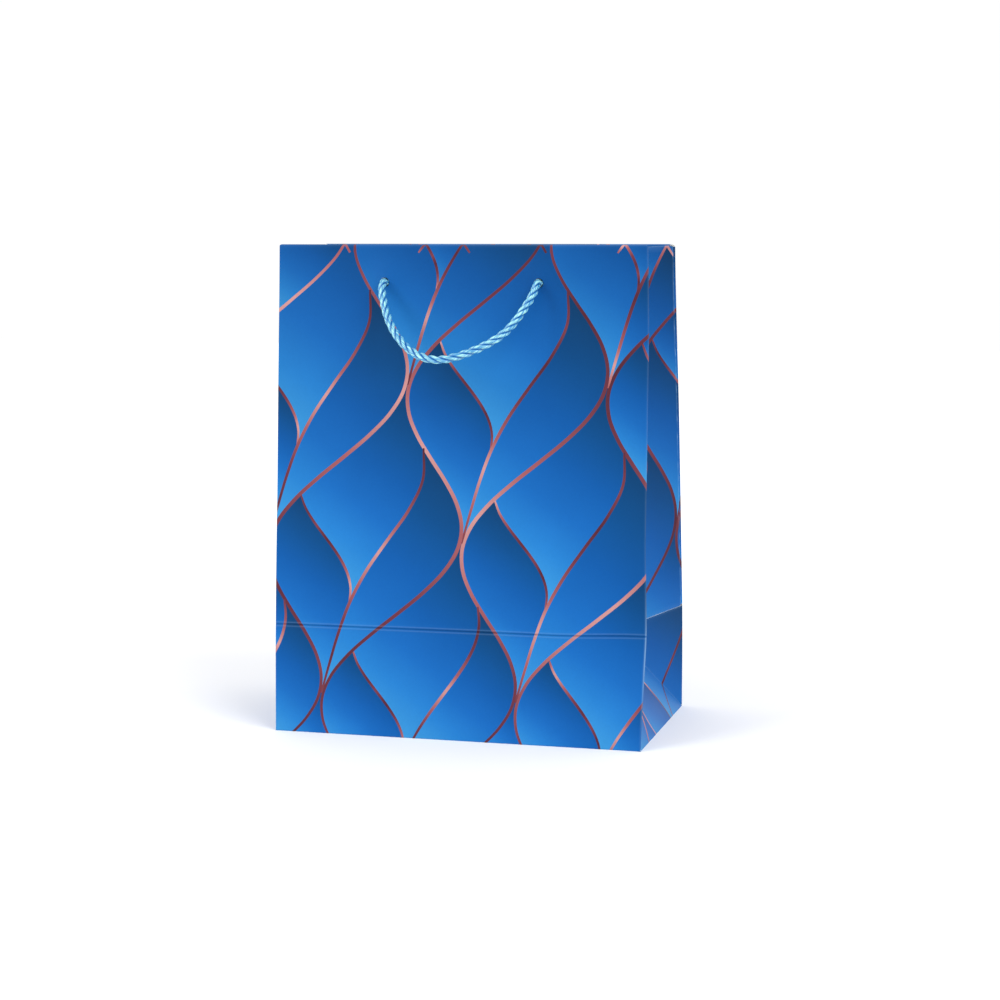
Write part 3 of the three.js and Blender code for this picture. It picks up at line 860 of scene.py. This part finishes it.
def base_flap(name, node, face, level, lines):
    """A printed flap folded in from one wall's foot."""
    edge = HALF_WIDTH - 1.2
    outline = [(-edge, 0.4), (edge, 0.4), (edge, 70), (edge - 5, 74), (5 - edge, 74), (-edge, 70)]
    sheet = Sheet(outline, lines, 5.0)

    def place(x, w):
        wave = 0.18 * (1 + np.sin(x / 23 + face)) * ease((w - 8) / 25) * ease((HALF_WIDTH - np.abs(x)) / 15)
        return np.stack([x, face * (HALF_DEPTH - w), level + wave], axis=1)

    piece = sheet_mesh(name, sheet, place, SHEET_MATERIALS, flip=face < 0)
    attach(piece, "root")
    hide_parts(node)


def base_card():
    """Loose card on the bag's floor."""
    x_edge, y_edge, cut = HALF_WIDTH - 3.8, HALF_DEPTH - 3.8, 1.2
    corners = [(x_edge, y_edge - cut), (x_edge - cut, y_edge)]
    quarter = corners + [(-x, y) for x, y in reversed(corners)]
    outline = quarter + [(-x, -y) for x, y in quarter]
    sheet = Sheet(outline, [], 8.0)

    def place(x, y):
        warp = 0.35 * (x / HALF_WIDTH) ** 2 + 0.12 * np.sin(y / 19)
        return np.stack([x, y, 3.15 + warp], axis=1)

    piece = sheet_mesh("base_insert", sheet, place, [GREYBOARD] * 3, thickness=1.0)
    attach(piece, "root")
    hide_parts("base_card")


# ---------------------------------------------------------------------------------------------
# Cords. Each is three strands laid together, knotted behind its holes.

STRAND_RADIUS = 1.0
STRAND_OUT = 1.1
RING = 22
GROOVE = 1.35            # from the cord's middle to where its strands meet
# The loop in its own hanging plane, leaning a little to the right: across, then down from the hinge line
LOOP = [(-39.5, 4.4), (-38.5, 8.4), (-36.5, 14.0), (-34.1, 20.0), (-30.8, 26.6), (-27.0, 32.6), (-22.5, 38.2),
        (-17.3, 43.1), (-11.8, 46.7), (-5.7, 48.9), (1.0, 49.2), (7.1, 47.7), (13.0, 45.3), (18.8, 42.1),
        (24.0, 38.6), (28.6, 34.7), (32.5, 29.9), (35.8, 23.8), (38.6, 17.3), (41.0, 10.7), (42.4, 5.4)]


def transported_frames(path):
    """Tangents, normals and binormals that follow a path without twisting."""
    tangents = unit(np.gradient(path, axis=0))
    normal = np.cross(tangents[0], [0.31, 0.17, 0.93])
    normals = []
    for tangent in tangents:
        normal = normal - tangent * (normal @ tangent)
        normal = normal / np.linalg.norm(normal)
        normals.append(normal)
    normals = np.array(normals)
    return tangents, normals, np.cross(tangents, normals)


def rope(name, path, phase=0.0):
    """Laid rope along a path in millimetres, with a texture map that follows the filaments."""
    tangents, normals, binormals = transported_frames(path)
    length = np.concatenate([[0], np.cumsum(np.linalg.norm(np.diff(path, axis=0), axis=1))])
    points, faces, mapping, crown_shading = [], [], [], []
    around = np.linspace(0, 2 * math.pi, RING, endpoint=False)
    for strand in range(3):
        turn = 2 * math.pi * length / CORD_LAY + phase + strand * 2 * math.pi / 3
        centre = path + STRAND_OUT * (np.cos(turn)[:, None] * normals + np.sin(turn)[:, None] * binormals)
        first = len(points)
        for i in range(len(path)):
            filament = around + 1.16 * turn[i]
            ridges = 0.028 * np.cos(7 * filament + strand) + 0.022 * np.cos(11 * filament + 2 * strand)
            radius = STRAND_RADIUS * (1 + ridges)
            ring = centre[i] + radius[:, None] * (
                np.cos(around)[:, None] * normals[i] + np.sin(around)[:, None] * binormals[i])
            points += ring.tolist()
            # painted shade weight: 0 in the grooves where the strands meet, 1 on their crowns
            out = (np.linalg.norm(ring - path[i], axis=1) - GROOVE) / (STRAND_OUT + STRAND_RADIUS - GROOVE)
            crown_shading += ease(1.4 * out).tolist()
        for i in range(len(path) - 1):
            for j in range(RING):
                k = (j + 1) % RING
                low, high = first + i * RING, first + (i + 1) * RING
                faces.append((low + j, low + k, high + k, high + j))
                for row, column in ((i, j), (i, j + 1), (i + 1, j + 1), (i + 1, j)):
                    lean = 1.16 * turn[row] / (2 * math.pi)
                    mapping.append((column / RING + lean + 0.37 * strand, length[row] / 40))
        for end, order in ((0, range(RING - 1, -1, -1)), (len(path) - 1, range(RING))):
            faces.append(tuple(first + end * RING + j for j in order))
            mapping += [(j / RING, length[end] / 40) for j in order]
    mesh = bpy.data.meshes.new(name)
    mesh.from_pydata((np.array(points) * MM).tolist(), [], faces)
    crown_values = np.array(crown_shading, dtype=np.float32)
    mesh.attributes.new("crown_shading", "FLOAT", "POINT").data.foreach_set("value", crown_values)
    layer = mesh.uv_layers.new(name="filaments")
    layer.data.foreach_set("uv", np.array(mapping, dtype=np.float32).ravel())
    mesh.polygons.foreach_set("use_smooth", [True] * len(faces))
    mesh.materials.append(SILK)
    piece = bpy.data.objects.new(name, mesh)
    bpy.context.scene.collection.objects.link(piece)
    return piece


def handle_route(face):
    """A handle's route from inside one hole, round the hanging loop and in at the other, in millimetres."""
    inward, _ = wall_directions(face)
    hinge = HINGE[face]
    down = np.array([0, face * math.cos(HANG_ANGLE), -math.sin(HANG_ANGLE)])
    def at(across, inside, drop):
        return np.array([across, *(hinge + inward * inside + down * drop)[1:]])

    left, right = HOLE_SHIFT - HOLE_X, HOLE_SHIFT + HOLE_X
    start = [at(left, HINGE_OUT + 2.6, 0), at(left, HINGE_OUT + 0.6, 0), at(left, HINGE_OUT - 1.4, 0),
             at(left + 0.3, 1.5, 1.1)]
    end = [at(right - 0.1, 1.5, 1.1), at(right, HINGE_OUT - 1.4, 0), at(right, HINGE_OUT + 0.6, 0),
           at(right, HINGE_OUT + 2.6, 0)]
    return smooth_curve(start + [at(across, 0, drop) for across, drop in LOOP] + end, 0.55)


def knot_route(face, side):
    """An overhand knot behind a hole: a trefoil opened at the bottom, with its tail hanging out."""
    inward, upward = wall_directions(face)
    hole = np.array([side * HOLE_X + HOLE_SHIFT, *(HINGE[face] + inward * HINGE_OUT)[1:]])
    across = np.array([side * 1.0, 0, 0])
    size, rise, depth = 1.95, 2.0, HEM_STACK + 4.3

    def at(x, y, inside):
        return hole + across * x + upward * y + inward * inside

    turn = np.linspace(math.pi + 0.4, 3 * math.pi - 0.4, 26)
    loops = [at(size * (math.sin(t) + 2 * math.sin(2 * t)), size * (math.cos(t) - 2 * math.cos(2 * t)),
                depth + rise * math.sin(3 * t)) for t in turn]
    lead = [at(0, 0, 0.6), at(0.1, -0.4, HEM_STACK)]
    first, last = loops[0], loops[-1]
    tail = [last + across * 2.4 - upward * 2.6 + inward * 0.6,
            last + across * 2.2 - upward * 7.0 + inward * 1.2,
            last + across * 1.0 - upward * 11.5 + inward * 1.0]
    return smooth_curve(lead + loops + tail, 0.6)


def handle(face):
    """One handle cord with the knots that hold it."""
    name = FACE_NAME[face]
    for side in (-1, 1):
        knot = rope(f"{name}_overhand_knot_{SIDE_NAME[side]}", knot_route(face, side), phase=side)
        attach(knot, f"{name}_wall")
        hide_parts(f"{name}_knot_{SIDE_NAME[side]}", f"{name}_cord_end_{SIDE_NAME[side]}")
    path = handle_route(face)
    cord = rope(f"{name}_handle_rope", path)
    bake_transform(cord)
    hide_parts(f"{name}_handle_cord")


# ---------------------------------------------------------------------------------------------
# Camera, floor and light

def add_camera():
    camera = bpy.data.objects.new("camera", bpy.data.cameras.new("camera"))
    bpy.context.scene.collection.objects.link(camera)
    camera.data.sensor_width = 36
    camera.data.lens = 81.4
    camera.data.clip_start = 0.05
    camera.location = (0.3231, -1.1833, 0.2658)
    camera.rotation_euler = (math.radians(90 - 6.73), 0, math.radians(14.86))
    bpy.context.scene.camera = camera


def add_sun(name, direction, strength, spread):
    """Even light from one side, as soft as its spread in degrees."""
    light = bpy.data.objects.new(name, bpy.data.lights.new(name, "SUN"))
    light.data.energy = strength
    light.data.angle = math.radians(spread)
    light.rotation_euler = Vector(direction).to_track_quat("-Z", "Y").to_euler()
    bpy.context.scene.collection.objects.link(light)


def add_stage():
    """White sweep and an even white surround."""
    mesh = bpy.data.meshes.new("floor")
    mesh.from_pydata([(-4, -4, 0), (4, -4, 0), (4, 4, 0), (-4, 4, 0)], [], [(0, 1, 2, 3)])
    floor = bpy.data.objects.new("floor", mesh)
    bpy.context.scene.collection.objects.link(floor)
    material, nodes, links, shader = new_material("floor_paper")
    space = nodes.new("ShaderNodeTexCoord").outputs["Object"]
    cloud = noise_node(nodes, links, 3, 2, space)
    ramp = nodes.new("ShaderNodeValToRGB")
    ramp.color_ramp.elements[0].color = (0.90, 0.905, 0.92, 1)
    ramp.color_ramp.elements[1].color = (0.92, 0.925, 0.94, 1)
    links.new(cloud, ramp.inputs["Fac"])
    links.new(ramp.outputs["Color"], shader.inputs["Base Color"])
    shader.inputs["Roughness"].default_value = 0.9
    shader.inputs["Specular IOR Level"].default_value = 0.1
    floor.data.materials.append(material)
    world = bpy.data.worlds.new("studio")
    bpy.context.scene.world = world
    world.use_nodes = True
    world.node_tree.nodes["Background"].inputs["Color"].default_value = (1, 1, 1, 1)
    world.node_tree.nodes["Background"].inputs["Strength"].default_value = 1.01
    bpy.context.scene.view_settings.view_transform = "Standard"


add_camera()
for face in (-1, 1):
    handle(face)
wall_piece(-1, FRONT_LINES)
wall_piece(1, BACK_LINES)
for side, lines in ((-1, LEFT_GUSSET_LINES), (1, RIGHT_GUSSET_LINES)):
    lower_gusset(side, lines)
    for face in (-1, 1):
        gusset_half(face, side, lines)
for face in (-1, 1):
    top_board(face)
glue_tab(RIGHT_GUSSET_LINES)
base_flap("base_flap_outer", "base_outer_flap", -1, 0.0, FRONT_LINES)
base_flap("base_flap_inner", "base_inner_flap", 1, 0.7, BACK_LINES)
base_card()
for side in (-1, 1):
    for slot in bpy.data.objects[f"base_{SIDE_NAME[side]}_tuck"].material_slots:
        slot.material = BARE

add_stage()
add_sun("key", (0.60, 0.68, -0.46), 0.85, 22)
add_sun("fill", (-0.62, 0.5, -0.62), 1.15, 30)
